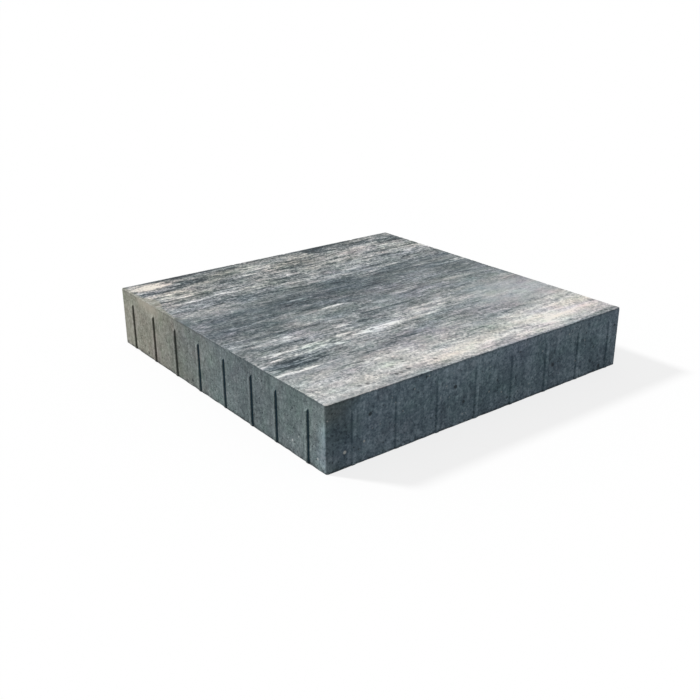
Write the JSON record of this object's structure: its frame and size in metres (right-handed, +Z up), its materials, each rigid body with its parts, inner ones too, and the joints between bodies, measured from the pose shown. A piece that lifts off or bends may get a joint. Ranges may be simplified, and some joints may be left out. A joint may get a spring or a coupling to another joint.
{
  "type": "concrete road slab",
  "caption": "Square concrete road and paving slab, cast in one piece, with a streaked grey wearing face and upright spacer ribs along its sides.",
  "frame": {"origin": "middle of the underside", "axes": "+Z up to the wearing face, +X along the streaks in the wearing face, +Y across them"},
  "size_m": [0.6, 0.6, 0.1],
  "materials": {
    "concrete": "matt cast concrete, with a wearing face streaked from slate grey to cream and plain grey sides"
  },
  "bodies": {
    "root": {"road_slab": "concrete"}
  },
  "joints": []
}
